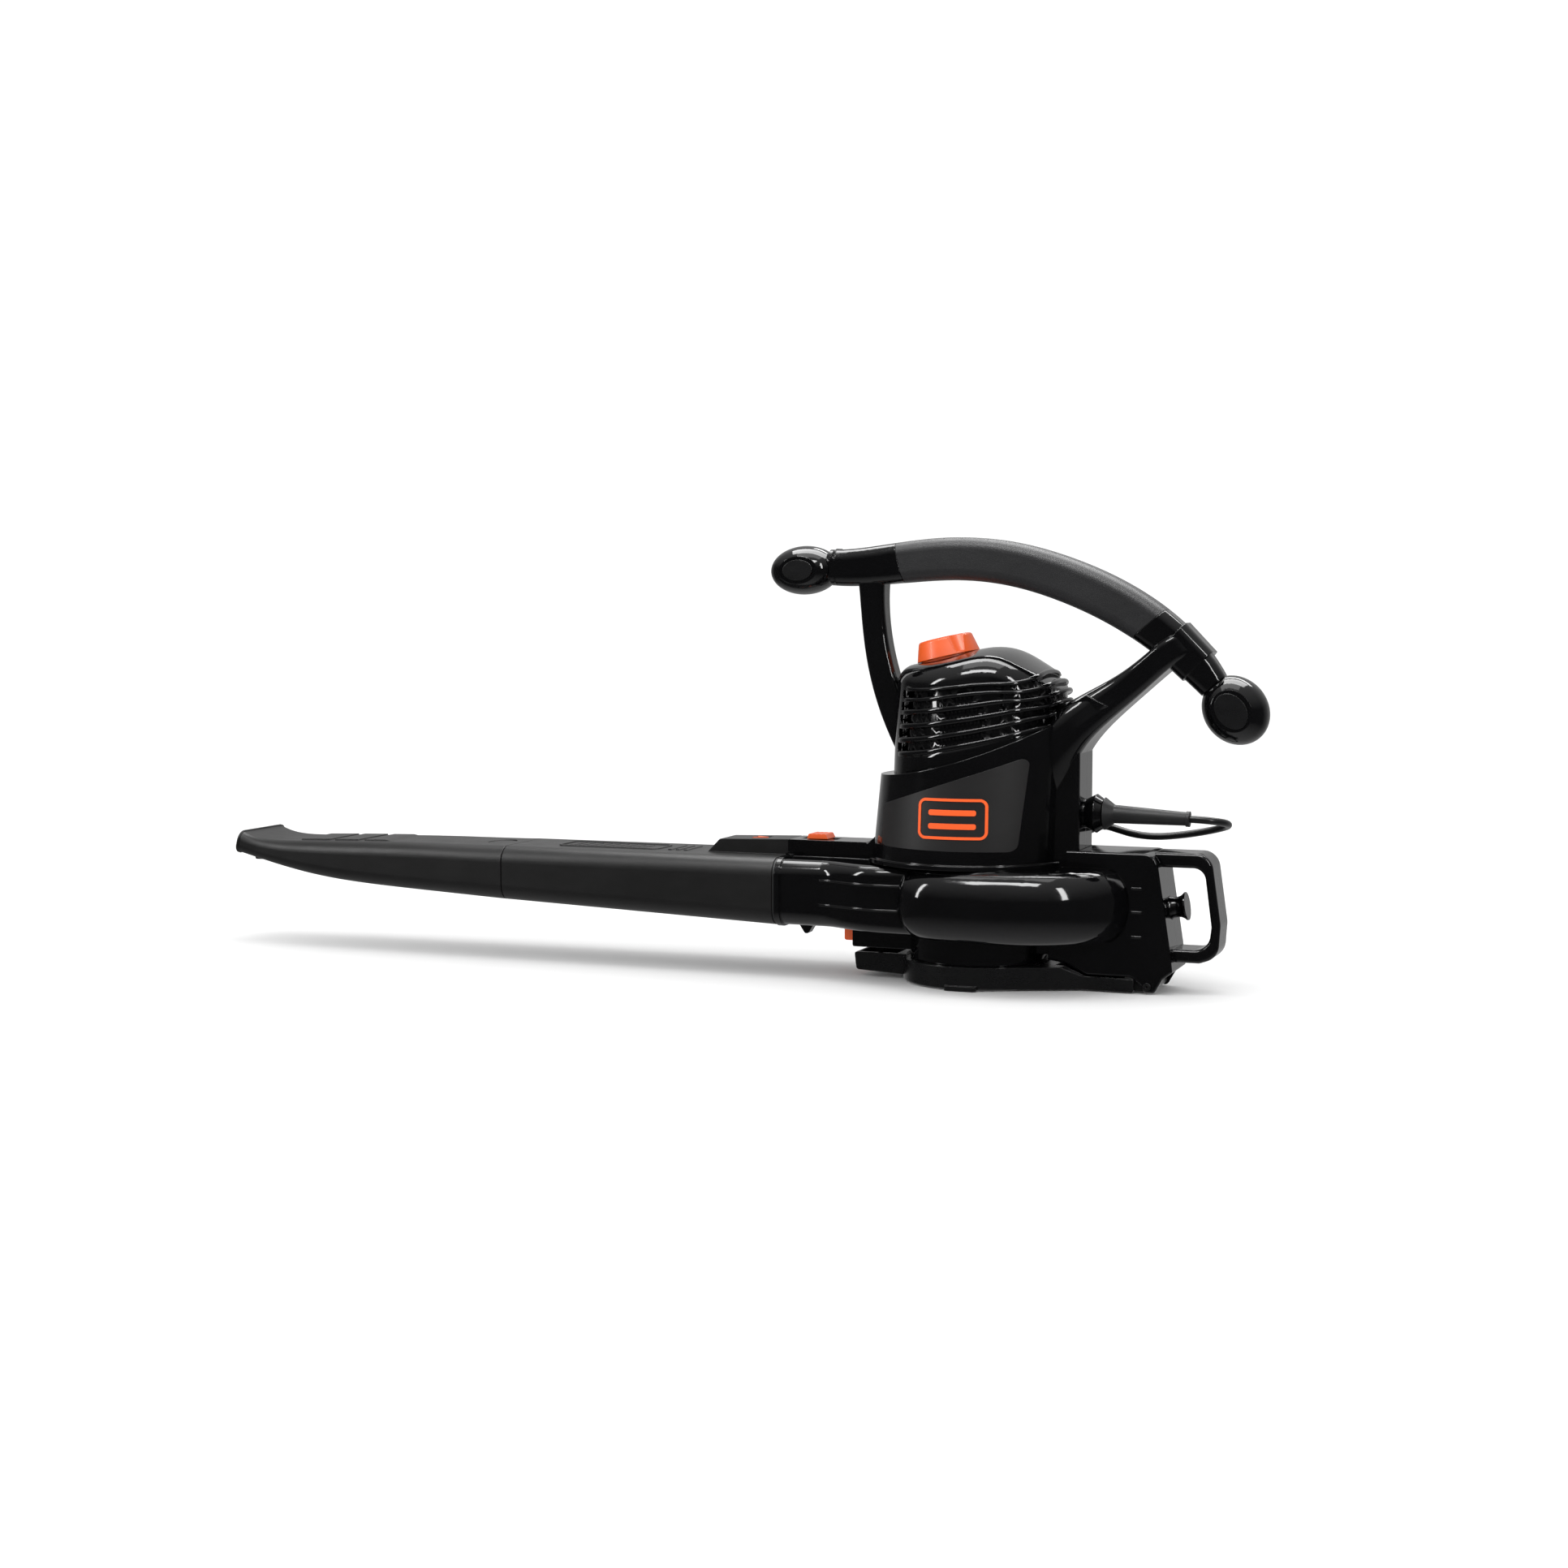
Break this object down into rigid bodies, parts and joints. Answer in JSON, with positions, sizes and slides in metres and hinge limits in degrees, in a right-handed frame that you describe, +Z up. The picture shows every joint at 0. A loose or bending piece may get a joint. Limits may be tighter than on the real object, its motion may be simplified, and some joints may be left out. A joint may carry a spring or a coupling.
{
  "type": "leaf blower",
  "caption": "Corded hand-held leaf blower and vacuum with a vertical motor over a fan housing, an arched top handle, a long flat outlet tube and a flared nozzle.",
  "frame": {"origin": "on the fan and motor axis, in the plane of the inlet cover's underside, which the blower stands on", "axes": "+X to the rear, away from the tube; -X along the air stream; +Z up along the motor axis; +Y completes a right-handed set, on the operator's right with the tube pointing forward"},
  "size_m": [1.0283, 0.236, 0.4019],
  "materials": {
    "gloss_black": "glossy black moulded plastic",
    "satin_black": "finely textured black plastic",
    "soft_grip": "soft dark grey over-moulding",
    "label_grey": "satin plate",
    "orange": "orange plastic",
    "orange_print": "orange raised trim",
    "cover_black": "satin black plastic",
    "rubber_black": "matte black rubber",
    "cord_black": "black cord jacket",
    "fan_grey": "filled grey plastic",
    "steel": "bright steel",
    "dark_screw": "blackened steel",
    "spring_steel": "spring steel",
    "lamination": "stacked laminations",
    "copper": "enamelled copper wire",
    "commutator_copper": "bare copper bars",
    "brass": "brass",
    "carbon": "pressed carbon",
    "switch_plastic": "moulded switch body",
    "bracket_plastic": "glass-filled plastic",
    "nickel": "nickel plate"
  },
  "bodies": {
    "housing": {"upper_housing_left": "gloss_black", "upper_housing_right": "gloss_black", "motor_cap": "gloss_black", "handle_grip": "soft_grip", "front_bulb_ovals": "soft_grip", "rear_bulb_ovals": "soft_grip", "label_panel_left": "label_grey", "label_panel_right": "label_grey", "badge_left": "orange_print", "badge_right": "orange_print", "housing_screws": "dark_screw", "fan_housing_upper": "gloss_black", "fan_housing_lower": "gloss_black", "outlet_seal": "rubber_black", "rear_frame_left": "gloss_black", "rear_frame_right": "gloss_black", "frame_screws": "dark_screw", "cord_hook": "gloss_black", "hinge_pin": "steel", "latch_spring": "spring_steel", "interlock_switch": "switch_plastic", "plunger_spring": "spring_steel", "release_spring": "spring_steel", "lower_bearing": "steel", "upper_bearing": "steel", "stator_core": "lamination", "field_coils": "copper", "motor_bracket": "bracket_plastic", "bracket_screws": "steel", "upper_bracket": "bracket_plastic", "brush_holders": "brass", "carbon_brushes": "carbon", "brush_springs": "spring_steel", "speed_switch": "switch_plastic", "cord_gland": "gloss_black", "strain_relief": "rubber_black", "cord_clamp": "satin_black", "cord_clamp_screws": "steel", "power_cord": "cord_black", "plug_body": "rubber_black", "plug_blades": "nickel"},
    "rotor": {"motor_shaft": "steel", "impeller": "fan_grey", "impeller_washer": "steel", "impeller_nut": "steel", "armature_core": "lamination", "armature_windings": "copper", "commutator": "commutator_copper", "cooling_fan": "fan_grey"},
    "knob": {"speed_knob": "orange", "switch_spindle": "satin_black"},
    "tube": {"blower_tube": "satin_black", "tube_lock_mark": "orange"},
    "nozzle": {"concentrator_nozzle": "satin_black"},
    "release_button": {"tube_release_slider": "orange"},
    "inlet_guard": {"inlet_cover": "cover_black", "inlet_grille": "cover_black"},
    "latch_button": {"cover_latch": "orange"},
    "plunger": {"interlock_plunger": "satin_black"}
  },
  "joints": [
    {"name": "rotor_spin", "type": "hinge", "parent": "housing", "child": "rotor", "pos_m": [0, 0, 0.15], "axis": [0, 0, 1], "continuous": true},
    {"name": "speed_knob_turn", "type": "hinge", "parent": "housing", "child": "knob", "pos_m": [-0.031, 0, 0.2942], "axis": [-0.225, 0, 0.9744], "range_deg": [0, 150]},
    {"name": "tube_pull_off", "type": "slide", "parent": "housing", "child": "tube", "axis": [-1, 0, 0], "range_m": [0, 0.045]},
    {"name": "nozzle_pull_off", "type": "slide", "parent": "tube", "child": "nozzle", "axis": [-1, 0, 0], "range_m": [0, 0.04]},
    {"name": "tube_release_slide", "type": "slide", "parent": "housing", "child": "release_button", "axis": [1, 0, 0], "range_m": [0, 0.007], "stiffness_N_per_m": 150, "springref_m": -0.002, "deforming": ["release_spring"]},
    {"name": "inlet_cover_hinge", "type": "hinge", "parent": "housing", "child": "inlet_guard", "pos_m": [0.162, 0, 0.0065], "axis": [0, -1, 0], "range_deg": [0, 100]},
    {"name": "cover_latch_slide", "type": "slide", "parent": "housing", "child": "latch_button", "axis": [1, 0, 0], "range_m": [0, 0.005], "stiffness_N_per_m": 150, "springref_m": -0.002, "deforming": ["latch_spring"]},
    {"name": "interlock_plunger_slide", "type": "slide", "parent": "housing", "child": "plunger", "axis": [0, 0, -1], "range_m": [0, 0.0031], "deforming": ["plunger_spring"]}
  ],
  "couplings": [
    {"joint": "interlock_plunger_slide", "follows": "inlet_cover_hinge", "m_per_rad": 0.00172}
  ]
}
